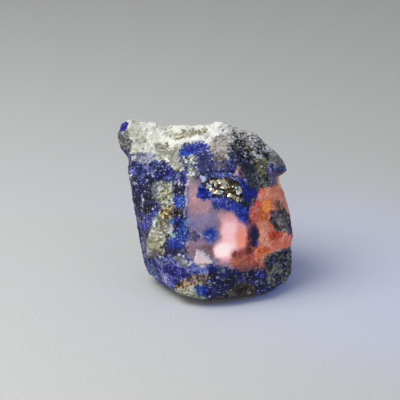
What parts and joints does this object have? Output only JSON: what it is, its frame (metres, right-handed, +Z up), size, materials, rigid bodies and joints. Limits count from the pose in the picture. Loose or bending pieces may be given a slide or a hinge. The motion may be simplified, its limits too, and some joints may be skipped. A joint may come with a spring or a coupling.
{
  "type": "rough afghanite stone",
  "caption": "Small rough lump of blue afghanite rock with a white crust, a glassy pink and orange window and brassy grains, resting on a small flat spot.",
  "frame": {"origin": "on the surface that the stone rests on, under the middle of its bounding box", "axes": "+X to the right across the front, which holds the pink and orange window, +Y to the back, +Z up"},
  "size_m": [0.018, 0.0128, 0.0174],
  "materials": {
    "stone": "rough broken rock, blue and grey-green grains with a white crust, glassy pink to orange where it is translucent",
    "pyrite": "small bright metallic crystal faces"
  },
  "bodies": {
    "root": {"stone": "stone"}
  },
  "joints": []
}
